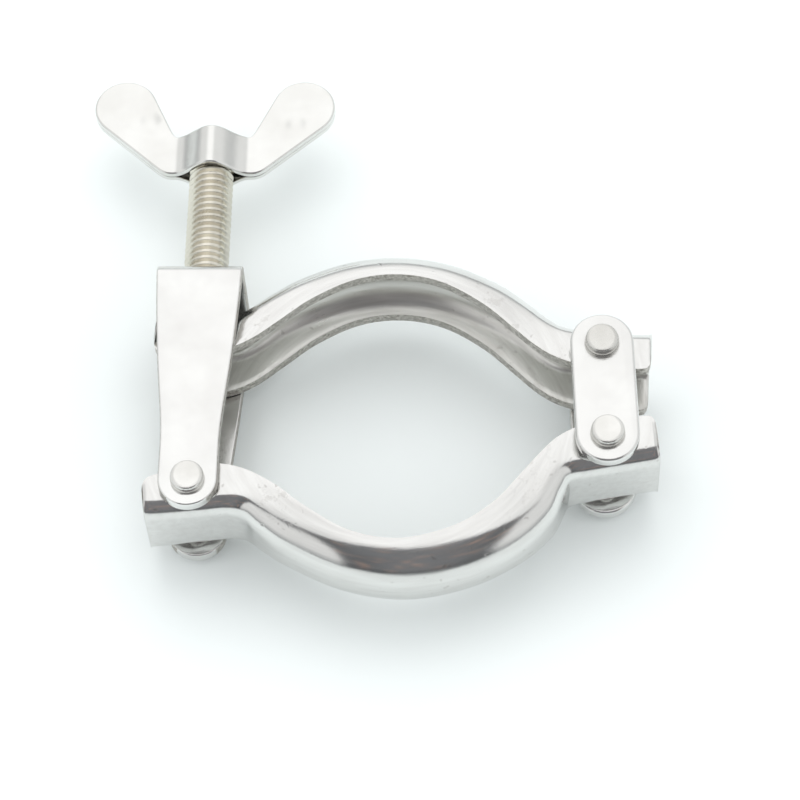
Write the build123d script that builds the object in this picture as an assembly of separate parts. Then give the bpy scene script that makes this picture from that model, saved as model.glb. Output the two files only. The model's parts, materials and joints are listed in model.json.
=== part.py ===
from build123d import *
import os
from math import asin, atan2, cos, degrees, hypot, radians, sin, sqrt, tan

os.makedirs("parts", exist_ok=True)

# ---------------------------------------------------------------- dimensions, mm
# The origin is the middle of the clamp bore, Z runs along the tube, and X runs
# through the two rivets of the lower jaw.

# Jaw steel and the tapered channel that grips the two ferrules.
sheet = 2.0
lip_radius = 25.0           # bore at the outer edges of the channel lips
lip_half = 8.05             # outer edges of the lips, from the mid-plane
lip_break = 0.5             # broken outer edge of each lip
channel_depth = 5.6         # lip edge to outside of the channel floor
flank_angle = 20.0          # slope of each channel flank
channel_corner = 3.0        # outside corner radius of the channel

# The straight lug at each end of a jaw, and the bend that leads into it.
lug_half = 8.4
lug_depth = 8.7
lug_corner = 6.0
lug_line = 7.9              # height of the lug edges below the middle of the bore
lip_bend = 22.0             # radius of the easy bend in the lips
floor_bend = 4.5            # radius of the tight bend in the channel floor
lower_lug_end = 43.9
upper_free_end = 41.5
lug_end_corner = 2.0
free_end_corner = 3.0

# Rivets.
rivet_x = 35.4
rivet_below = 11.65
rivet_radius = 2.35
rivet_head_radius = 2.85
rivet_head_height = 1.5
rivet_head_edge = 0.7
pin_play = 0.05             # radial running clearance of each rivet in a jaw

# Hinge link plates.
jaw_turn = 9.2              # how far the upper jaw stands open
link_half_width = 5.4
link_thick = 2.2
side_play = 0.3             # between a lug flank and a link or yoke leg

# Yoke strap that carries the screw.
yoke_lean = 7.2
yoke_thick = 2.2
yoke_height = 42.5          # rivet to outside of the crosspiece
yoke_bend = 3.0             # outside bend radius
yoke_side = [(5.0, 0.0), (5.05, 9.0), (5.95, 19.0), (7.05, 33.0), (7.45, yoke_height)]

# Clamp screw, with the thread modelled as a plain cylinder.
screw_radius = 3.95
screw_play = 0.05
neck_radius = 2.0
neck_play = 0.05
peen_radius = 2.9
peen_height = 0.4
end_play = 0.1              # along the neck, each side of the washer
washer_radius = 4.8
washer_thick = 1.0
washer_gap = 0.4            # below the crosspiece

# Wing pressings.
wing_sheet = 1.2
hub_bottom = 66.4
hub_top = 74.3
hub_half = 7.0
valley_round = 1.5
wing_corner_x = 8.6
wing_corner = 1.6
wing_round = 5.65
wing_round_x = 16.2
wing_round_y = 80.6
hub_play = 0.05
hub_fillet = 1.2

# ---------------------------------------------------------------- derived values
leg_inner = lug_half + side_play
leg_outer = leg_inner + yoke_thick
link_outer = leg_inner + link_thick
rivet_hole = rivet_radius + pin_play
crosspiece_inner = yoke_height - yoke_thick
washer_top = crosspiece_inner - washer_gap
washer_bottom = washer_top - washer_thick
screw_shoulder = washer_top + end_play
peen_top = washer_bottom - end_play
peen_bottom = peen_top - peen_height



def blend_point(radius, level, fillet_radius):
    """Centre of a fillet between a circle about the bore and a level line below it, and its angle."""
    reach = radius + fillet_radius
    drop = level + fillet_radius
    return sqrt(reach ** 2 - drop ** 2), -drop, degrees(asin(drop / reach))


lip_x, lip_y, arc_end = blend_point(lip_radius, lug_line, lip_bend)
floor_radius = lip_radius + channel_depth
floor_level = lug_line + lug_depth
floor_x, floor_y, floor_end = blend_point(floor_radius, floor_level, floor_bend)

# Shares of the bend at which the channel floor starts and ends its own turn.
floor_turn = (0.14, 0.52)
floor_steps = 6
straight_steps = 3


def turned(x, y, angle):
    """A point turned about the middle of the bore."""
    a = radians(angle)
    return (x * cos(a) - y * sin(a), x * sin(a) + y * cos(a))


lower_rivet = (rivet_x, -rivet_below)
upper_rivet = turned(rivet_x, rivet_below, -jaw_turn)
yoke_rivet = (-rivet_x, -rivet_below)
yoke_place = Pos(yoke_rivet[0], yoke_rivet[1], 0) * Rot(0, 0, -yoke_lean)


# ---------------------------------------------------------------- pressed jaws
def channel_face(depth, half, flank, corner, point, out):
    """Section of the bent sheet. point is on the lip line, out points away from the bore."""
    f = radians(flank)
    along = Vector(cos(f), -sin(f))
    inward = Vector(-sin(f), -cos(f))
    lip = Vector(0, half)
    reach = corner * tan(radians((90 - flank) / 2))
    knee = Vector(depth, half - depth * tan(f))
    centre = Vector(depth - corner, knee.Y - reach)
    side_normal = inward * -1
    floor_normal = Vector(1, 0)
    mid_normal = (side_normal + floor_normal).normalized()
    inner = corner - sheet

    cut_start = lip + inward * sheet
    cut_end = lip + inward * lip_break
    flank_start = lip + along * lip_break
    upper = [
        [cut_start, cut_end],
        [cut_end, flank_start],
        [flank_start, centre + side_normal * corner],
        [centre + side_normal * corner, centre + mid_normal * corner, centre + floor_normal * corner],
    ]
    lower = [[Vector(p.X, -p.Y) for p in reversed(part)] for part in reversed(upper)]
    floor_out = [[upper[-1][-1], lower[0][0]]]
    in_side = centre + side_normal * inner
    in_mid = centre + mid_normal * inner
    in_floor = centre + floor_normal * inner
    inside_upper = [[in_floor, in_mid, in_side], [in_side, cut_start]]
    inside_lower = [[Vector(p.X, -p.Y) for p in reversed(part)] for part in reversed(inside_upper)]
    floor_in = [[inside_lower[-1][-1], inside_upper[0][0]]]
    parts = upper + floor_out + lower + inside_lower + floor_in + inside_upper

    def place(p):
        return (point[0] + out[0] * p.X, point[1] + out[1] * p.X, p.Y)

    edges = []
    for part in parts:
        spots = [place(p) for p in part]
        edges.append(Line(*spots) if len(spots) == 2 else ThreePointArc(*spots))
    return Face(Wire(edges))


def bore_face(angle):
    """Channel section on the bore arc."""
    out = turned(1, 0, angle)
    point = (lip_radius * out[0], lip_radius * out[1])
    return channel_face(channel_depth, lip_half, flank_angle, channel_corner, point, out)


def floor_point(share):
    """Point on the channel floor, part of the way from the bore arc to the straight lug."""
    first, last = floor_turn
    if share < first:
        angle = -arc_end + (arc_end - floor_end) * share / first
        return turned(floor_radius, 0, angle)
    if share < last:
        done = (share - first) / (last - first)
        away = turned(floor_bend, 0, 180 - floor_end - done * (90 - floor_end))
        return (floor_x + away[0], floor_y + away[1])
    done = (share - last) / (1 - last)
    return (floor_x + done * (lip_x - floor_x), -floor_level)


def bend_face(share):
    """Channel section part of the way round the bend, changing from channel to lug."""
    mix = share * share * (3 - 2 * share)
    away = turned(lip_bend, 0, 180 - arc_end - share * (90 - arc_end))
    point = (lip_x + away[0], lip_y + away[1])
    floor = floor_point(share)
    depth = hypot(floor[0] - point[0], floor[1] - point[1])
    return channel_face(
        depth,
        lip_half + mix * (lug_half - lip_half),
        flank_angle * (1 - mix),
        channel_corner + mix * (lug_corner - channel_corner),
        point,
        ((floor[0] - point[0]) / depth, (floor[1] - point[1]) / depth),
    )


def lug_face(x):
    """Channel section on the straight lug."""
    return channel_face(lug_depth, lug_half, 0, lug_corner, (x, -lug_line), (0, -1))


def jaw_end(length, corner):
    """Bend and lug at the +X end of a jaw that opens upwards."""
    first, last = floor_turn
    shares = [0.0]
    shares += [first + (last - first) * i / floor_steps for i in range(floor_steps)]
    shares += [last + (1 - last) * i / straight_steps for i in range(straight_steps + 1)]
    stations = [bend_face(share) for share in shares]
    bend = Solid.make_loft([f.outer_wire() for f in stations], True)
    lug = extrude(lug_face(lip_x), amount=length - lip_x, dir=(1, 0, 0))
    centre = Pos(length - corner, -lug_line - corner, 0)
    square = centre * Box(corner + 1, corner + 1, 30, align=(Align.MIN, Align.MIN, Align.CENTER))
    return bend + (lug - (square - centre * Cylinder(corner, 40)))


def jaw(right_length, right_corner, left_length, left_corner, holes):
    """A whole jaw with its bore arc below the X axis."""
    half_span = 90 - arc_end
    arc = revolve(bore_face(-90 - half_span), Axis.Z, 2 * half_span)
    body = arc + jaw_end(right_length, right_corner)
    body = body + mirror(jaw_end(left_length, left_corner), Plane.YZ)
    for x in holes:
        body = body - Pos(x, -rivet_below, 0) * Cylinder(rivet_hole, 40)
    return body


# ---------------------------------------------------------------- hinge and rivets
def rivet(place, outer):
    """Solid rivet with a flat-topped head outside each plate."""
    top = outer + rivet_head_height
    upper = [
        (rivet_radius, outer),
        (rivet_head_radius, outer),
        (rivet_head_radius, top - rivet_head_edge),
        (rivet_head_radius - rivet_head_edge / 4, top - rivet_head_edge / 4),
        (rivet_head_radius - rivet_head_edge, top),
        (0, top),
    ]
    lower = [(x, -z) for x, z in reversed(upper)]
    half = make_face(Plane.XZ * Polyline(*upper, *lower, close=True))
    return Pos(place[0], place[1], 0) * revolve(half, Axis.Z, 360)


def link_plate(level):
    """Round-ended plate over both hinge rivets, with its inner face at the given height."""
    dx = upper_rivet[0] - lower_rivet[0]
    dy = upper_rivet[1] - lower_rivet[1]
    length = hypot(dx, dy)
    shape = SlotCenterToCenter(length, 2 * link_half_width)
    shape = shape - Pos(length / 2, 0) * Circle(rivet_radius) - Pos(-length / 2, 0) * Circle(rivet_radius)
    plate = extrude(shape, link_thick)
    middle = Pos(lower_rivet[0] + dx / 2, lower_rivet[1] + dy / 2, level)
    return middle * Rot(0, 0, degrees(atan2(dy, dx))) * plate


# ---------------------------------------------------------------- yoke and washer
def yoke_outline():
    """Plan of the strap, from the round end at the rivet to the crosspiece."""
    right = Spline(*yoke_side, tangents=((0, 1), (0.02, 1)))
    other = [(-x, y) for x, y in reversed(yoke_side)]
    left = Spline(*other, tangents=((0.02, -1), (0, -1)))
    top = Line(yoke_side[-1], other[0])
    end = yoke_side[0][0]
    bottom = ThreePointArc((-end, 0), (0, -end), (end, 0))
    return make_face([right, top, left, bottom])


def yoke():
    """One strap folded into a U over both lugs."""
    low = -8.0
    width = 2 * leg_outer
    outer = Pos(0, low) * Rectangle(width, yoke_height - low, align=(Align.CENTER, Align.MIN))
    outer = fillet(outer.vertices().group_by(Axis.Y)[-1], yoke_bend)
    inner = Pos(0, low) * Rectangle(2 * leg_inner, crosspiece_inner - low, align=(Align.CENTER, Align.MIN))
    inner = fillet(inner.vertices().group_by(Axis.Y)[-1], yoke_bend - yoke_thick)
    # The section lies in the plane of the screw and the tube axis.
    section = Plane(origin=(0, 0, 0), x_dir=(0, 0, 1), z_dir=(-1, 0, 0)) * (outer - inner)
    strap = extrude(section, 12, both=True)
    strap = strap & extrude(yoke_outline(), 20, both=True)
    strap = strap - Pos(0, yoke_height, 0) * Rot(90, 0, 0) * Cylinder(screw_radius + screw_play, 12)
    strap = strap - Cylinder(rivet_radius, 40)
    return yoke_place * strap


def on_screw(shape, low):
    """Stand a Z-axis shape on the screw line with its low end at the given height."""
    return yoke_place * Pos(0, low, 0) * Rot(-90, 0, 0) * shape


def thrust_washer():
    """Washer held on the neck of the screw."""
    ring = Circle(washer_radius) - Circle(neck_radius + neck_play)
    return on_screw(extrude(ring, washer_thick), washer_bottom)


def clamp_screw():
    """Screw with a neck and a spread tip that hold the washer."""
    chamfer_size = 0.6
    points = [
        (0, peen_bottom),
        (peen_radius, peen_bottom),
        (peen_radius, peen_top),
        (neck_radius, peen_top),
        (neck_radius, screw_shoulder),
        (screw_radius - chamfer_size, screw_shoulder),
        (screw_radius, screw_shoulder + chamfer_size),
        (screw_radius, hub_top),
        (0, hub_top),
    ]
    half = make_face(Plane.XZ * Polyline(*points, close=True))
    return on_screw(revolve(half, Axis.Z, 360), 0)


# ---------------------------------------------------------------- wing pressings
def wing_outline():
    """Plan of both wings with the hub between them."""
    dx = wing_round_x - wing_corner_x
    dy = wing_round_y - hub_bottom
    low_turn = atan2(dy, dx) - asin(wing_round / hypot(dx, dy))
    low = (wing_round_x + wing_round * sin(low_turn), wing_round_y - wing_round * cos(low_turn))
    dx = wing_round_x - hub_half
    dy = wing_round_y - hub_top
    top_turn = atan2(dy, dx) + asin(wing_round / hypot(dx, dy))
    high = (wing_round_x - wing_round * sin(top_turn), wing_round_y + wing_round * cos(top_turn))
    body = Polyline((0, hub_bottom), (wing_corner_x, hub_bottom), low, high, (hub_half, hub_top),
                    (0, hub_top), close=True)
    body = make_face(body)
    side = body.vertices()
    corner = side.filter_by(lambda v: abs(v.X - wing_corner_x) < 0.01 and abs(v.Y - hub_bottom) < 0.01)
    body = fillet(corner, wing_corner)
    valley = body.vertices().filter_by(lambda v: abs(v.X - hub_half) < 0.01 and abs(v.Y - hub_top) < 0.01)
    body = fillet(valley, valley_round)
    body = body + Pos(wing_round_x, wing_round_y) * Circle(wing_round)
    return body + mirror(body, Plane.YZ)


def wing_pressing():
    """One sheet of the wing, on the +Z side, with a half-round channel for the screw."""
    outer = screw_radius + hub_play + wing_sheet
    inner = screw_radius + hub_play
    rise = wing_sheet + hub_fillet
    far = sqrt((outer + hub_fillet) ** 2 - rise ** 2)
    ends = 30.0

    def on_bend(radius):
        scale = radius / (outer + hub_fillet)
        return (far * scale, rise * scale)

    def bend_mid(radius):
        a = (atan2(-rise, -far) + atan2(-1, 0)) / 2
        return (far + radius * cos(a), rise + radius * sin(a))

    def skin(radius, level, bend):
        x, z = on_bend(radius)
        mx, mz = bend_mid(bend)
        return [
            Line((ends, level), (far, level)),
            ThreePointArc((far, level), (mx, mz), (x, z)),
            ThreePointArc((x, z), (0, radius), (-x, z)),
            ThreePointArc((-x, z), (-mx, mz), (-far, level)),
            Line((-far, level), (-ends, level)),
        ]

    edges = skin(outer, wing_sheet, hub_fillet) + skin(inner, 0, rise)
    edges += [Line((ends, 0), (ends, wing_sheet)), Line((-ends, 0), (-ends, wing_sheet))]
    section = Plane(origin=(0, hub_bottom - 1, 0), x_dir=(-1, 0, 0), z_dir=(0, 1, 0)) * make_face(edges)
    sheet_body = extrude(section, 30)
    return sheet_body & extrude(wing_outline(), 12, both=True)


# ---------------------------------------------------------------- write the pieces
wing = wing_pressing()
lug_holes = [rivet_x, -rivet_x]
upper = jaw(lower_lug_end, lug_end_corner, upper_free_end, free_end_corner, [rivet_x])

pieces = {
    "lower_jaw": jaw(lower_lug_end, lug_end_corner, lower_lug_end, lug_end_corner, lug_holes),
    "upper_jaw": Rot(0, 0, -jaw_turn) * Rot(180, 0, 0) * upper,
    "link_front": link_plate(leg_inner),
    "link_back": link_plate(-link_outer),
    "hinge_pin_lower": rivet(lower_rivet, link_outer),
    "hinge_pin_upper": rivet(upper_rivet, link_outer),
    "yoke": yoke(),
    "yoke_pin": rivet(yoke_rivet, leg_outer),
    "thrust_washer": thrust_washer(),
    "clamp_screw": clamp_screw(),
    "wing_front": yoke_place * wing,
    "wing_back": yoke_place * mirror(wing, Plane.XY),
}

for name, shape in pieces.items():
    export_step(shape, "parts/" + name + ".step")
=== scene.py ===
import json
import math

import bmesh
import bpy
from mathutils import Matrix, Vector


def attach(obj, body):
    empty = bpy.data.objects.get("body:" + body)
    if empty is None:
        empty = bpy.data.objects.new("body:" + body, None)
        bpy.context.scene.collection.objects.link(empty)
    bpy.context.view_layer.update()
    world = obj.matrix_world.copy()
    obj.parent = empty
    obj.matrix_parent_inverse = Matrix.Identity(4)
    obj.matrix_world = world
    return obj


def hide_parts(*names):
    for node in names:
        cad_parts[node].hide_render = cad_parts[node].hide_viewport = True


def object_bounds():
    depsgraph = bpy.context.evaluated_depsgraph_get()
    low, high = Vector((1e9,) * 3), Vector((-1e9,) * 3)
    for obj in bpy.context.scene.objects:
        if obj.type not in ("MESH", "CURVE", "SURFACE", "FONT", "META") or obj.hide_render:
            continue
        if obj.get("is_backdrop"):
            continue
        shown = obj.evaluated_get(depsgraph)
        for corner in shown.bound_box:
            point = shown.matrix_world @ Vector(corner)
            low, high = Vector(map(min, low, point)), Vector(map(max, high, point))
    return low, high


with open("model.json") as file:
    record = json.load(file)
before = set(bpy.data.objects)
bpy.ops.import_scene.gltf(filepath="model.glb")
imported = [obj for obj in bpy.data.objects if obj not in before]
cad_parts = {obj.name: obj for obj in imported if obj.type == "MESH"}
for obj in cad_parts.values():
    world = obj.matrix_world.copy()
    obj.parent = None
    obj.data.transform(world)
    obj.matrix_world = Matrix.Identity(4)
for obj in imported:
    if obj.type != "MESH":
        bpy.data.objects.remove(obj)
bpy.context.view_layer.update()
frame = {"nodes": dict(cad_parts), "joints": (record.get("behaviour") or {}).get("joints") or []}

MM = 0.001
nodes = frame["nodes"]
joints = {joint["name"]: joint for joint in frame["joints"]}

# ------------------------------------------------------------------ places
# The screw line, read from the frame: yoke rivet, and the way out along the screw.
yoke_rivet = Vector(joints["yoke_swing"]["pos_m"])
screw_way = Vector(joints["screw_travel"]["axis"]).normalized()
yoke_turn = math.atan2(-screw_way.x, screw_way.y)
on_yoke = Matrix.Translation(yoke_rivet) @ Matrix.Rotation(yoke_turn, 4, "Z")

# The screw, measured out from the yoke rivet along the screw line.
thread_radius = 3.95 * MM
thread_root = 3.32 * MM
thread_pitch = 1.25 * MM
neck_radius = 2.0 * MM
spread_radius = 2.9 * MM
spread_bevel = 0.15 * MM
spread_low = 38.4 * MM
spread_high = 38.8 * MM
thread_low = 40.0 * MM
thread_high = 74.3 * MM
thread_steps = 40
thread_spare_turns = 2
tip_steps = 32


# ------------------------------------------------------------------ shader maths
class Sock:
    """A shader value that can be used in Python expressions."""

    def __init__(self, tree, out):
        self.tree = tree
        self.out = out

    def math(self, operation, a, b):
        made = self.tree.nodes.new("ShaderNodeMath")
        made.operation = operation
        for socket, value in zip(made.inputs, (a, b)):
            if isinstance(value, Sock):
                self.tree.links.new(value.out, socket)
            else:
                socket.default_value = value
        return Sock(self.tree, made.outputs[0])

    def __add__(self, other):
        return self.math("ADD", self, other)

    def __radd__(self, other):
        return self.math("ADD", other, self)

    def __sub__(self, other):
        return self.math("SUBTRACT", self, other)

    def __rsub__(self, other):
        return self.math("SUBTRACT", other, self)

    def __mul__(self, other):
        return self.math("MULTIPLY", self, other)

    def __rmul__(self, other):
        return self.math("MULTIPLY", other, self)

    def __truediv__(self, other):
        return self.math("DIVIDE", self, other)

    def __abs__(self):
        return self.math("ABSOLUTE", self, 0.0)


class Maker:
    """Makes the nodes of one material or world."""

    def __init__(self, owner, output):
        owner.use_nodes = True
        self.owner = owner
        self.output = output
        self.tree = owner.node_tree
        self.tree.nodes.clear()

    def node(self, kind, settings=None, **inputs):
        """Adds a node. Inputs go by name, with _ for a space, or by number, as in i0."""
        made = self.tree.nodes.new(kind)
        for key, value in (settings or {}).items():
            setattr(made, key, value)
        for key, value in inputs.items():
            which = int(key[1:]) if key[1:].isdigit() else key.replace("_", " ")
            if isinstance(value, Sock):
                self.tree.links.new(value.out, made.inputs[which])
            else:
                made.inputs[which].default_value = value
        return made

    def out(self, made, which=0):
        return Sock(self.tree, made.outputs[which])

    def place(self):
        return self.out(self.node("ShaderNodeTexCoord"), "Object")

    def split(self, vector):
        made = self.node("ShaderNodeSeparateXYZ", Vector=vector)
        return [self.out(made, i) for i in range(3)]

    def join(self, x, y, z):
        return self.out(self.node("ShaderNodeCombineXYZ", X=x, Y=y, Z=z))

    def root(self, value):
        return self.out(self.node("ShaderNodeMath", {"operation": "SQRT"}, i0=value))

    def noise(self, vector, scale, detail, rough=0.55):
        return self.out(self.node("ShaderNodeTexNoise", Vector=vector, Scale=scale, Detail=detail,
                                  Roughness=rough), "Fac")

    def ramp(self, value, low, high, start, end, kind="LINEAR"):
        """Goes from low to high while the value goes from start to end."""
        return self.out(self.node("ShaderNodeMapRange", {"clamp": True, "interpolation_type": kind},
                                  Value=value, From_Min=start, From_Max=end, To_Min=low, To_Max=high))

    def fade(self, value, edge, soft):
        """1 inside the edge, 0 outside, with a soft step."""
        return self.ramp(value, 1.0, 0.0, edge - soft / 2, edge + soft / 2, "SMOOTHSTEP")

    def blend(self, factor, a, b, kind="MIX"):
        """Colour a at factor 0 and colour b at factor 1."""
        a, b = (tone if isinstance(tone, Sock) else (*tone, 1) for tone in (a, b))
        made = self.node("ShaderNodeMix", {"data_type": "RGBA", "blend_type": kind}, i0=factor, i6=a, i7=b)
        return self.out(made, 2)

    def mix_shader(self, factor, a, b):
        return self.node("ShaderNodeMixShader", i0=factor, i1=self.out(a), i2=self.out(b))

    def finish(self, shader):
        self.node(self.output, Surface=self.out(shader))
        return self.owner

    def metal(self, colour, roughness, relief, strength, depth=0.1 * MM, metallic=1.0):
        """Ends a material as bare metal with a relief."""
        bump = self.node("ShaderNodeBump", Height=relief, Strength=strength, Distance=depth)
        return self.finish(self.node("ShaderNodeBsdfPrincipled", Metallic=metallic, Base_Color=colour,
                                     Roughness=roughness, Normal=self.out(bump)))


def material_maker(name):
    return Maker(bpy.data.materials.new(name), "ShaderNodeOutputMaterial")


# Noise scales, in waves per metre.
cloud_scale = 90.0
press_cloud_scale = 110.0
dent_scale = 320.0
tear_scale = 380.0
mark_scale = 420.0
pit_scale = 700.0
sheared_grain_scale = 1500.0
press_grain_scale = 2400.0
grain_scale = 2600.0
brush_scales = (250, 5200, 2400)

# In millimetres: the radius on which lengths round the bore are measured, and where the jaws bend
# from arc to lug: how far either side of the bore axis, half the bend's length, and how far out the
# marks of the press reach.
arc_radius = 27
bend_across = 22.0
bend_reach = 4.5
bend_far = 29.0


def polar(m, spot):
    """Distance from the bore axis, length round it and height, in millimetres."""
    x, y, z = m.split(spot)
    turn = m.out(m.node("ShaderNodeMath", {"operation": "ARCTAN2"}, i0=y, i1=x))
    return m.root(x * x + y * y) * 1000, turn * arc_radius, z * 1000


def steel(name, tone, dark, rough, lines, grain, dents):
    """Stainless steel. lines, grain and dents say how strong each relief is."""
    m = material_maker(name)
    spot = m.place()
    x, y, z = (part * scale for part, scale in zip(m.split(spot), brush_scales))
    cloud = m.noise(spot, cloud_scale, 4.0)
    fine = m.noise(spot, grain_scale, 2.0, 0.7)
    soft = m.noise(spot, dent_scale, 2.0)
    brushed = m.noise(m.join(x, y, z), 1.0, 2.0, 0.6)
    colour = m.blend(m.ramp(cloud, 0.0, 1.0, 0.35, 0.7), tone, dark)
    roughness = m.ramp(cloud * 0.6 + fine * 0.4, rough - 0.06, rough + 0.06, 0.3, 0.7)
    return m.metal(colour, roughness, fine * grain + soft * dents + brushed * lines, 0.5)


def jaw_steel(name, tone, dark, rough, lines_height):
    """Pressed jaw steel with fine lines running round the bore and marks of the press at the bends."""
    m = material_maker(name)
    spot = m.place()
    across = m.split(spot)[0] * 1000
    far, turn, height = polar(m, spot)
    cloud = m.noise(spot, press_cloud_scale, 3.0)
    lines = m.noise(m.join(far * 2.6, turn * 0.12, height * 2.6), 1.0, 3.0, 0.65)
    streak = m.noise(m.join(far * 0.9, turn * 0.09, height * 0.9), 1.0, 2.0)
    fine = m.noise(spot, press_grain_scale, 2.0, 0.7)
    pits = m.ramp(m.noise(spot, pit_scale, 1.0), 0.0, 1.0, 0.70, 0.78)
    bends = m.fade(abs(abs(across) - bend_across), bend_reach, 4.0) * m.fade(far, bend_far, 3.0)
    marks = m.ramp(m.noise(spot, mark_scale, 3.0, 0.7), 0.0, 1.0, 0.56, 0.66) * bends
    colour = m.blend(m.ramp(streak, 0.0, 1.0, 0.3, 0.7), tone, dark)
    colour = m.blend(pits * 0.35, colour, (0.32, 0.30, 0.28))
    colour = m.blend(marks * 0.22, colour, (0.45, 0.43, 0.40))
    roughness = m.ramp(cloud * 0.5 + lines * 0.5, rough - 0.04, rough + 0.06, 0.3, 0.7) + marks * 0.12
    relief = lines * lines_height + fine * 0.12 + cloud * 0.6 - pits * 0.4 - marks * 0.3
    return m.metal(colour, roughness, relief, 0.35)


def sheared_steel():
    """Torn, grainy steel where the blank was cut from the sheet."""
    m = material_maker("sheared steel edge")
    spot = m.place()
    grain = m.noise(spot, sheared_grain_scale, 3.0, 0.7)
    tear = m.noise(spot, tear_scale, 2.0, 0.6)
    colour = m.blend(m.ramp(grain, 0.0, 1.0, 0.38, 0.62), (0.30, 0.28, 0.25), (0.66, 0.64, 0.60))
    colour = m.blend(m.ramp(tear, 0.0, 0.6, 0.45, 0.7), colour, (0.50, 0.48, 0.45))
    roughness = m.ramp(grain, 0.34, 0.55, 0.3, 0.7)
    return m.metal(colour, roughness, grain + tear * 1.2, 0.7, 0.15 * MM, 0.9)


# ------------------------------------------------------------------ mesh helpers
def add_object(name, bm, finishes):
    """Puts a finished bmesh into the scene with its materials."""
    mesh = bpy.data.meshes.new(name)
    bm.to_mesh(mesh)
    bm.free()
    for finish in finishes:
        mesh.materials.append(finish)
    obj = bpy.data.objects.new(name, mesh)
    bpy.context.scene.collection.objects.link(obj)
    return obj


def piece(name, bm, finishes, body, replaced, sharp=40):
    """A piece that rides on a body in place of a CAD node, smooth but for edges past sharp degrees."""
    obj = add_object(name, bm, finishes)
    obj.data.shade_smooth()
    obj.data.set_sharp_from_angle(angle=math.radians(sharp))
    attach(obj, body)
    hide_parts(replaced)


def merged_copy(node):
    """A copy of a CAD node's mesh with its loose triangles joined and flat faces cleaned."""
    bm = bmesh.new()
    bm.from_mesh(nodes[node].data)
    bmesh.ops.remove_doubles(bm, verts=bm.verts, dist=0.002 * MM)
    bmesh.ops.dissolve_limit(bm, angle_limit=math.radians(0.5), verts=bm.verts, edges=bm.edges)
    return bm


def soften(bm, width, angle, segments):
    """Rounds every edge that is sharper than the angle, in degrees."""
    limit = math.radians(angle)
    sharp = [e for e in bm.edges if len(e.link_faces) == 2 and e.calc_face_angle(0) > limit]
    bmesh.ops.bevel(bm, geom=sharp, offset=width, offset_type="OFFSET", segments=segments, profile=0.5,
                    affect="EDGES", material=-1, clamp_overlap=True, loop_slide=True)


def profile(bm, spots):
    """A line of points, given as radius and height, ready to spin round Z."""
    verts = [bm.verts.new((radius, 0, height)) for radius, height in spots]
    return verts + [bm.edges.new(pair) for pair in zip(verts, verts[1:])]


def threaded_rod():
    """Rolled thread on the screw line, with the neck and spread tip that hold the washer."""
    bm = bmesh.new()
    flat = thread_pitch / 8
    slope = (thread_pitch - 3 * flat) / 2
    ridge = profile(bm, [(thread_radius, 0), (thread_radius, flat), (thread_root, flat + slope),
                         (thread_root, 3 * flat + slope), (thread_radius, thread_pitch)])
    turns = math.ceil((thread_high - thread_low) / thread_pitch) + thread_spare_turns
    bmesh.ops.spin(bm, geom=ridge, cent=(0, 0, 0), axis=(0, 0, 1), dvec=(0, 0, thread_pitch / thread_steps),
                   angle=2 * math.pi * turns, steps=thread_steps * turns)
    start = thread_low - thread_spare_turns * thread_pitch
    bmesh.ops.translate(bm, verts=bm.verts, vec=(0, 0, start))
    bmesh.ops.remove_doubles(bm, verts=bm.verts, dist=0.01 * MM)
    for level, keep_up in ((thread_low, True), (thread_high, False)):
        everything = bm.verts[:] + bm.edges[:] + bm.faces[:]
        cut = bmesh.ops.bisect_plane(bm, geom=everything, plane_co=(0, 0, level), plane_no=(0, 0, 1),
                                     clear_inner=keep_up, clear_outer=not keep_up)
        rim = [part for part in cut["geom_cut"] if isinstance(part, bmesh.types.BMEdge)]
        bmesh.ops.contextual_create(bm, geom=rim)
    tip = bmesh.new()
    outline = profile(tip, [(0, spread_low), (spread_radius * 0.8, spread_low),
                            (spread_radius, spread_low + spread_bevel), (spread_radius, spread_high),
                            (neck_radius, spread_high), (neck_radius, thread_low)])
    bmesh.ops.spin(tip, geom=outline, cent=(0, 0, 0), axis=(0, 0, 1), angle=2 * math.pi, steps=tip_steps,
                   use_merge=True)
    bmesh.ops.remove_doubles(tip, verts=tip.verts, dist=0.001 * MM)
    spare = bpy.data.meshes.new("screw tip")
    tip.to_mesh(spare)
    tip.free()
    bm.from_mesh(spare)
    bpy.data.meshes.remove(spare)
    bmesh.ops.recalc_face_normals(bm, faces=bm.faces)
    bmesh.ops.transform(bm, matrix=on_yoke @ Matrix.Rotation(-math.pi / 2, 4, "X"), verts=bm.verts)
    return bm


# ------------------------------------------------------------------ jaws
jaw_sheet = 2.0
jaw_turn = math.radians(-9.2)
least_corner = 0.9
lip_round = 0.22
row_steps = 6
flank_steps = 4
corner_steps = 10

# Materials of a jaw's faces, by their place in its list of materials.
CHANNEL = 1
SHEARED = 2

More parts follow.
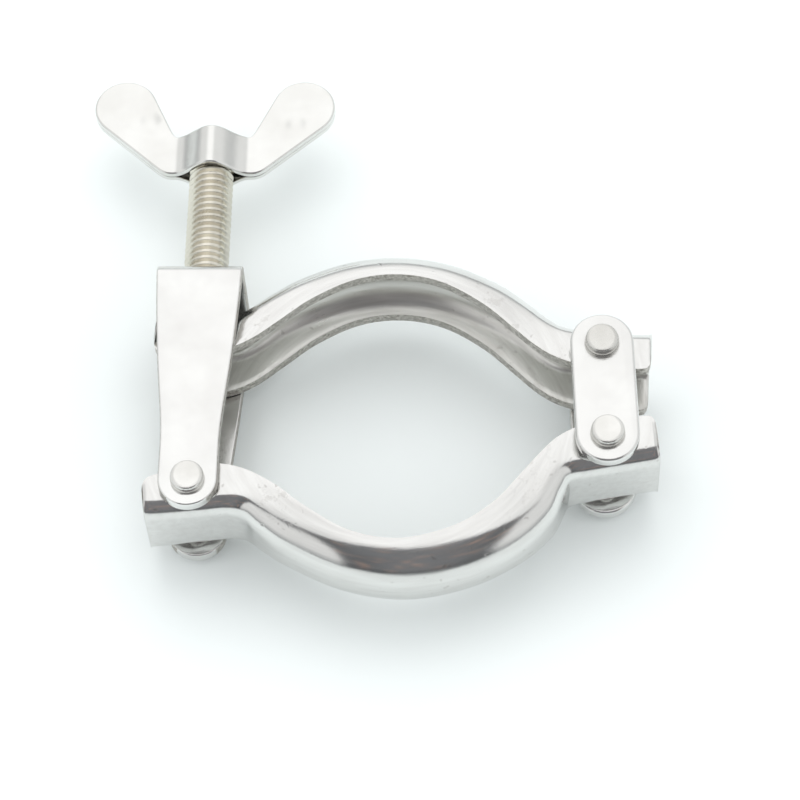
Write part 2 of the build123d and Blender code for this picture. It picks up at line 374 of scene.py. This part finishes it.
# Each row is one place along a jaw, in millimetres: lip x and y, floor x and y, half width at
# the lip, slope of the flank in degrees, and outside corner radius.
lower_rows = [
    (-43.3, -11.6, -43.4, -15.6, 8.4, 8.0, 3.3),
    (-43.0, -10.3, -43.2, -15.6, 8.4, 9.0, 3.4),
    (-42.0, -9.3, -42.2, -15.7, 8.4, 10.0, 3.5),
    (-39.5, -8.8, -39.2, -15.8, 8.4, 10.0, 3.5),
    (-34.5, -8.3, -34.0, -15.9, 8.4, 10.0, 3.5),
    (-30.2, -8.2, -29.6, -16.0, 8.4, 10.0, 3.6),
    (-25.6, -9.8, -27.0, -16.9, 8.3, 11.0, 4.2),
    (-20.8, -13.3, -24.9, -19.3, 8.2, 13.0, 5.0),
    (-16.4, -17.7, -20.9, -23.2, 8.1, 15.0, 6.2),
    (-9.3, -23.2, -11.8, -29.1, 8.05, 16.0, 7.0),
    (-1.0, -25.6, -1.0, -32.1, 8.05, 16.0, 7.0),
    (8.0, -24.3, 9.8, -31.3, 8.05, 16.0, 7.0),
    (14.8, -20.9, 18.9, -27.7, 8.1, 15.0, 6.2),
    (19.8, -16.5, 24.8, -23.1, 8.2, 13.0, 5.2),
    (23.4, -13.1, 27.3, -18.9, 8.3, 11.0, 4.4),
    (26.9, -10.3, 28.6, -16.9, 8.4, 10.0, 3.6),
    (31.0, -8.6, 31.5, -16.5, 8.4, 10.0, 3.5),
    (36.5, -8.0, 37.0, -16.1, 8.4, 10.0, 3.5),
    (42.3, -8.0, 42.3, -15.8, 8.4, 10.0, 3.5),
    (43.5, -8.5, 43.4, -15.7, 8.4, 9.0, 3.5),
    (43.9, -9.7, 43.9, -15.7, 8.4, 8.0, 3.3),
]
upper_right = [
    (7.5, -24.0, 9.0, -30.5, 8.05, 16.0, 7.0),
    (14.7, -20.0, 17.3, -26.8, 8.1, 15.0, 6.2),
    (20.2, -15.3, 22.0, -23.2, 8.2, 13.0, 5.2),
    (24.0, -12.0, 25.6, -19.8, 8.3, 11.0, 4.4),
    (27.5, -9.8, 28.3, -17.8, 8.4, 10.0, 3.8),
    (31.5, -8.5, 31.5, -17.0, 8.4, 10.0, 3.5),
    (36.5, -7.9, 36.5, -16.5, 8.4, 10.0, 3.5),
]
upper_left = [(-lip_x, lip_y, -floor_x, *rest) for lip_x, lip_y, floor_x, *rest in reversed(upper_right)]
upper_rows = [
    (-41.5, -10.8, -41.5, -16.5, 8.4, 9.0, 3.5),
    (-41.0, -8.8, -41.1, -16.5, 8.4, 10.0, 3.5),
    (-39.4, -7.9, -39.6, -16.5, 8.4, 10.0, 3.5),
    *upper_left,
    (0.0, -25.3, 0.0, -31.7, 8.05, 16.0, 7.0),
    *upper_right,
    (42.3, -7.9, 42.3, -16.5, 8.4, 10.0, 3.5),
    (43.5, -8.5, 43.5, -16.5, 8.4, 10.0, 3.5),
    (43.9, -9.9, 43.9, -16.5, 8.4, 9.0, 3.5),
]


def between(rows):
    """Smooth run of rows through the given ones, with new rows between each and the next."""
    ends = [rows[0], *rows, rows[-1]]
    run = []
    for four in zip(ends, ends[1:], ends[2:], ends[3:]):
        for i in range(row_steps):
            t = i / row_steps
            run.append(tuple(
                q + 0.5 * t * (r - p + t * (2 * p - 5 * q + 4 * r - s + t * (3 * (q - r) + s - p)))
                for p, q, r, s in zip(*four)))
    return run + [rows[-1]]


def half_section(depth, half, slope, corner):
    """Front half of a channel outline, from its lip to the middle of its floor, as depth and height."""
    centre_depth = depth - corner
    touch_depth = centre_depth + corner * math.sin(slope)
    touch_height = half - touch_depth * math.tan(slope)
    centre_height = touch_height - corner * math.cos(slope)
    flank = [touch_depth * i / flank_steps for i in range(flank_steps)]
    points = [(down, half - down * math.tan(slope)) for down in flank]
    for i in range(corner_steps + 1):
        turn = slope + (math.pi / 2 - slope) * i / corner_steps
        points.append((centre_depth + corner * math.sin(turn), centre_height + corner * math.cos(turn)))
    return points + [(depth, centre_height / 2)]


def section(depth, half, slope, corner):
    """Closed outline of the channel: outside from front lip to back lip, then the inside back."""
    outside = half_section(depth, half, slope, corner)
    inner_half = half - jaw_sheet / math.cos(slope)
    inner_corner = max(corner - jaw_sheet, least_corner)
    inside = half_section(depth - jaw_sheet, inner_half, slope, inner_corner)
    outside += [(d, -h) for d, h in reversed(outside)]
    inside += [(d, -h) for d, h in reversed(inside)]
    return outside, inside[::-1]


def jaw_mesh(rows, place):
    """Channel swept along its lips and floor."""
    bm = bmesh.new()
    rings = []
    for lip_x, lip_y, floor_x, floor_y, half, slope, corner in between(rows):
        lip = Vector((lip_x, lip_y, 0))
        way = Vector((floor_x, floor_y, 0)) - lip
        depth = way.length
        way.normalize()
        outside, inside = section(depth, half, math.radians(slope), corner)
        spots = [lip + way * d + Vector((0, 0, h)) for d, h in outside + inside]
        rings.append([bm.verts.new(spot * MM) for spot in spots])
    outer = len(outside)
    size = len(rings[0])
    for one, two in zip(rings, rings[1:]):
        for i in range(size):
            j = (i + 1) % size
            face = bm.faces.new((one[i], one[j], two[j], two[i]))
            if i in (outer - 1, size - 1):
                face.material_index = SHEARED
            elif i >= outer:
                face.material_index = CHANNEL
    for ring in (rings[0], rings[-1]):
        for i in range(outer - 1):
            face = bm.faces.new((ring[i], ring[i + 1], ring[size - 2 - i], ring[size - 1 - i]))
            face.material_index = SHEARED
    bmesh.ops.recalc_face_normals(bm, faces=bm.faces)
    soften(bm, lip_round * MM, 50, 2)
    bmesh.ops.transform(bm, matrix=place, verts=bm.verts)
    return bm


# ------------------------------------------------------------------ wings
# In millimetres: across the screw line, and out along it from the yoke rivet.
wing_sheet = 1.2
seam = 0.02
hub_bottom = 66.4
hub_top = 74.3
hub_half = 7.0
hub_rise = 4.1
hub_reach = 6.9
hub_blend = 1.2
wing_corner_x = 8.6
round_x = 16.2
round_y = 80.6
round_radius = 5.65
edge_round = 0.42
inner_round = 0.16
weld_dents = ((-11.6, 77.9), (14.9, 76.9))
dent_radius = 2.5
dent_depth = 0.4
rim_look = 1.0

# Columns across a wing, and where the points of a column lie from its low rim (0) to its high one
# (1): close together at the rims, which are rounded.
column_step = 0.4
column_count = 41
round_steps = 18
rim_shares = (0.0, 0.003, 0.008, 0.016, 0.028, 0.044, 0.066, 0.094, 0.13, 0.17, 0.21)
middle_shares = [0.25 + 0.04 * i for i in range(13)]
wing_shares = [*rim_shares, *middle_shares, *(1 - share for share in reversed(rim_shares))]


def soft_max(a, b, reach):
    """The larger value, with the change from one to the other rounded off."""
    near = max(reach - abs(a - b), 0) / reach
    return max(a, b) + near * near * reach / 4


def wing_limits():
    """Tangent lines from the hub's corners to the round end: start, slope and end of each."""
    limits = []
    for corner_x, corner_y, side in ((wing_corner_x, hub_bottom, -1), (hub_half, hub_top, 1)):
        dx, dy = round_x - corner_x, round_y - corner_y
        turn = math.atan2(dy, dx) + side * math.asin(round_radius / math.hypot(dx, dy))
        limits.append((corner_x, corner_y, math.tan(turn), round_x - side * round_radius * math.sin(turn)))
    return limits


def wing_span(across, limits):
    """Low and high rim of the wing at one place across it."""
    bulge = math.sqrt(max(round_radius ** 2 - (across - round_x) ** 2, 0))
    rims = []
    for (corner_x, corner_y, slope, touch), side in zip(limits, (-1, 1)):
        line = corner_y + slope * (across - corner_x)
        rims.append(round_y + side * bulge if across > touch else soft_max(corner_y, line, hub_blend))
    return rims


def sunk(distance, radius):
    """Drop of a rounded rim at a distance from it."""
    left = max(radius - distance, 0)
    return radius - math.sqrt(radius * radius - left * left)


def rim_distance(spot, spans, columns):
    """Distance to the nearest piece of rim, measured to the lines between neighbouring columns."""
    best = rim_look
    for left, right in zip(columns, columns[1:]):
        if left - rim_look > spot.x or right + rim_look < spot.x:
            continue
        for rim in (0, 1):
            start = Vector((left, spans[left][rim]))
            way = Vector((right, spans[right][rim])) - start
            share = min(max((spot - start).dot(way) / way.length_squared, 0), 1)
            best = min(best, (spot - start - way * share).length)
    return best


def wing_level(spot, distance, outer):
    """Height of the sheet's outer or inner face over the plane where the two halves meet."""
    level = hub_rise * (0.5 + 0.5 * math.cos(math.pi * min(abs(spot.x) / hub_reach, 1)))
    if not outer:
        return level + seam + sunk(distance, inner_round)
    level += wing_sheet - sunk(distance, edge_round)
    for dent in weld_dents:
        reach = min((spot - Vector(dent)).length / dent_radius, 1)
        level -= dent_depth * (1 - reach ** 2) ** 2
    return level


def wing_mesh(side):
    """One pressed sheet of the wing, its rims rounded and its weld dents sunk."""
    limits = wing_limits()
    half = [column_step * i for i in range(column_count)]
    turns = [math.radians(90 * i / round_steps) for i in range(round_steps + 1)]
    half += [round_x + round_radius * math.sin(turn) for turn in turns]
    columns = sorted({round(u, 4) for across in half for u in (across, -across)})
    spans = {u: wing_span(abs(u), limits) for u in columns}
    bm = bmesh.new()
    layers = []
    for outer in (True, False):
        grid = []
        for u in columns:
            low, high = spans[u]
            spots = [Vector((u, low + (high - low) * share)) for share in wing_shares]
            levels = [wing_level(spot, rim_distance(spot, spans, columns), outer) for spot in spots]
            grid.append([bm.verts.new((u * MM, spot.y * MM, level * side * MM))
                         for spot, level in zip(spots, levels)])
        layers.append(grid)
    for grid in layers:
        for one, two in zip(grid, grid[1:]):
            for corners in zip(one, one[1:], two[1:], two):
                bm.faces.new(corners)
    for (outer, outer_next), (inner, inner_next) in zip(*(zip(grid, grid[1:]) for grid in layers)):
        for rim in (0, -1):
            bm.faces.new((outer[rim], outer_next[rim], inner_next[rim], inner[rim]))
    bmesh.ops.remove_doubles(bm, verts=bm.verts, dist=0.002 * MM)
    bmesh.ops.recalc_face_normals(bm, faces=bm.faces)
    bmesh.ops.transform(bm, matrix=on_yoke, verts=bm.verts)
    return bm


# ------------------------------------------------------------------ materials
jaw_finish = jaw_steel("polished jaw steel", (0.75, 0.75, 0.735), (0.68, 0.675, 0.66), 0.13, 0.22)
channel_finish = jaw_steel("satin channel steel", (0.77, 0.765, 0.735), (0.62, 0.61, 0.58), 0.30, 0.3)
sheared_finish = sheared_steel()
plate_finish = steel("tumbled plate steel", (0.79, 0.79, 0.775), (0.72, 0.715, 0.70), 0.20, 0.18, 0.12, 0.5)
rivet_finish = steel("rivet steel", (0.79, 0.785, 0.76), (0.62, 0.61, 0.58), 0.25, 0.1, 0.2, 1.2)
thread_finish = steel("rolled thread steel", (0.80, 0.77, 0.69), (0.62, 0.59, 0.51), 0.24, 0.0, 0.08, 0.12)
wing_finish = steel("wing sheet steel", (0.79, 0.79, 0.77), (0.72, 0.715, 0.69), 0.20, 0.15, 0.12, 0.6)

# ------------------------------------------------------------------ CAD pieces that stay
nodes["thrust_washer"].data.materials.clear()
nodes["thrust_washer"].data.materials.append(plate_finish)

# ------------------------------------------------------------------ dressed pieces
upper_place = Matrix.Rotation(jaw_turn, 4, "Z") @ Matrix.Rotation(math.pi, 4, "X")
jaw_finishes = (jaw_finish, channel_finish, sheared_finish)
for name, rows, place in (
    ("lower_jaw", lower_rows, Matrix.Identity(4)),
    ("upper_jaw", upper_rows, upper_place),
):
    piece(name + "_dressed", jaw_mesh(rows, place), jaw_finishes, name, name, 35)

piece("thread", threaded_rod(), [thread_finish], "wing_screw", "clamp_screw", 35)

# Rounding of the plates' edges and of the rivet heads' rims, in millimetres.
plate_round = 0.5
rivet_round = 0.16
for name, body, finish, slot, width, angle in (
    ("link_front", "hinge_links", plate_finish, "link_steel", plate_round, 40),
    ("link_back", "hinge_links", plate_finish, "link_steel", plate_round, 40),
    ("hinge_pin_lower", "hinge_links", rivet_finish, "rivet_steel", rivet_round, 12),
    ("hinge_pin_upper", "hinge_links", rivet_finish, "rivet_steel", rivet_round, 12),
    ("yoke_pin", "yoke", rivet_finish, "rivet_steel", rivet_round, 12),
):
    bm = merged_copy(name)
    soften(bm, width * MM, angle, 4)
    piece(name + "_dressed", bm, [finish], body, name)

# The yoke's strap has sheared faces where it looks left and right.
bm = merged_copy("yoke")
across_yoke = on_yoke.to_3x3() @ Vector((1, 0, 0))
for face in bm.faces:
    if abs(face.normal.dot(across_yoke)) > 0.7:
        face.material_index = 1
soften(bm, plate_round * MM, 40, 4)
piece("yoke_dressed", bm, (plate_finish, sheared_finish), "yoke", "yoke")

for name, side in (("wing_front", 1), ("wing_back", -1)):
    piece(name + "_dressed", wing_mesh(side), [wing_finish], "wing_screw", name, 50)

# ------------------------------------------------------------------ floor, camera, lights
low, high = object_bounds()
floor_level = low.z - 0.02 * MM
floor_half = 3.0


def floor():
    """Pale table that keeps the clamp's shadow."""
    m = material_maker("white table")
    cloud = m.noise(m.place(), 12.0, 2.0)
    tone = m.blend(m.ramp(cloud, 0.0, 1.0, 0.3, 0.7), (0.90, 0.93, 0.93), (0.885, 0.915, 0.915))
    finish = m.finish(m.node("ShaderNodeBsdfPrincipled", Roughness=0.6, Base_Color=tone))
    bm = bmesh.new()
    bmesh.ops.create_grid(bm, x_segments=1, y_segments=1, size=floor_half)
    bmesh.ops.translate(bm, verts=bm.verts, vec=(0, 0, floor_level))
    obj = add_object("floor", bm, [finish])
    obj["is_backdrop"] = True


floor()

scene = bpy.context.scene
camera = bpy.data.cameras.new("camera")
camera.sensor_width = 36.0
camera.lens = 143.93
camera.clip_start = 0.01
camera.clip_end = 20.0
view = bpy.data.objects.new("camera", camera)
scene.collection.objects.link(view)
eye = Vector((-10.33, -259.6, 484.75)) * MM
aim = Vector((1.75, 4.65, 0.0)) * MM
tilt = math.radians(-3.91)
view.matrix_world = (Matrix.Translation(eye) @ (aim - eye).to_track_quat("-Z", "Y").to_matrix().to_4x4()
                     @ Matrix.Rotation(tilt, 4, "Z"))
scene.camera = view


def softbox(name, place, size, power):
    """Soft lamp that looks at the bore. Polished metal shows the room and not the lamp."""
    lamp = bpy.data.lights.new(name, "AREA")
    lamp.shape = "RECTANGLE"
    lamp.size, lamp.size_y = size
    lamp.energy = power
    obj = bpy.data.objects.new(name, lamp)
    scene.collection.objects.link(obj)
    here = Vector(place)
    obj.matrix_world = Matrix.Translation(here) @ (-here).to_track_quat("-Z", "Y").to_matrix().to_4x4()
    obj.visible_glossy = False


softbox("top softbox", (0.05, 0.45, 0.8), (0.9, 0.7), 2.15)
softbox("left softbox", (-0.8, 0.1, 0.5), (0.5, 0.5), 0.9)
softbox("right softbox", (0.8, -0.1, 0.4), (0.4, 0.5), 0.6)

# Colours of the room as polished metal shows it.
ceiling_dark = (0.13, 0.135, 0.145)
ceiling_brown = (0.42, 0.27, 0.21)
room_sides = (0.92, 0.925, 0.925)
room_centre = (1.27, 1.27, 1.27)
room_horizon = (0.44, 0.455, 0.46)


def studio():
    """Pale studio with a dark stretch of ceiling, which polished metal shows as a dark band."""
    m = Maker(bpy.data.worlds.new("studio"), "ShaderNodeOutputWorld")
    x, y, z = m.split(m.out(m.node("ShaderNodeTexCoord"), "Generated"))
    spread = m.root(y * y + z * z + 0.0001)
    across = x / spread
    lean = (0.0 - y) / spread
    ceiling = m.join(across, lean, 0.0)
    wobble = m.noise(ceiling, 5.0, 2.0) - 0.5
    side = m.fade(abs(across + 0.02 + wobble * 0.10), 0.66, 0.14)
    near = 1.0 - m.fade(lean + wobble * 0.06, 0.25, 0.08)
    above = 1.0 - m.fade(z, 0.06, 0.08)
    brown = m.ramp(m.noise(ceiling, 9.0, 1.0), 0.0, 1.0, 0.58, 0.66)
    shade = m.blend(brown * 0.8, ceiling_dark, ceiling_brown)
    tone = m.blend(side * near * above * 0.96, (1.0, 1.0, 1.0), shade)
    high = m.blend(m.fade(abs(across), 0.38, 0.40), room_sides, room_centre)
    room = m.blend(m.fade(z, 0.16, 0.34), high, room_horizon)
    mirrored = m.node("ShaderNodeBackground", Color=m.blend(1.0, tone, room, "MULTIPLY"), Strength=1.0)
    lit = m.node("ShaderNodeBackground", Color=(0.97, 1.0, 1.0, 1), Strength=1.0)
    shown = m.node("ShaderNodeBackground", Color=(1, 1, 1, 1), Strength=1.0)
    path = m.node("ShaderNodeLightPath")
    light = m.mix_shader(m.out(path, "Is Glossy Ray"), lit, mirrored)
    seen = m.out(path, "Is Camera Ray") + m.out(path, "Is Transmission Ray")
    return m.finish(m.mix_shader(seen, light, shown))


scene.world = studio()
scene.view_settings.view_transform = "Standard"

low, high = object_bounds()
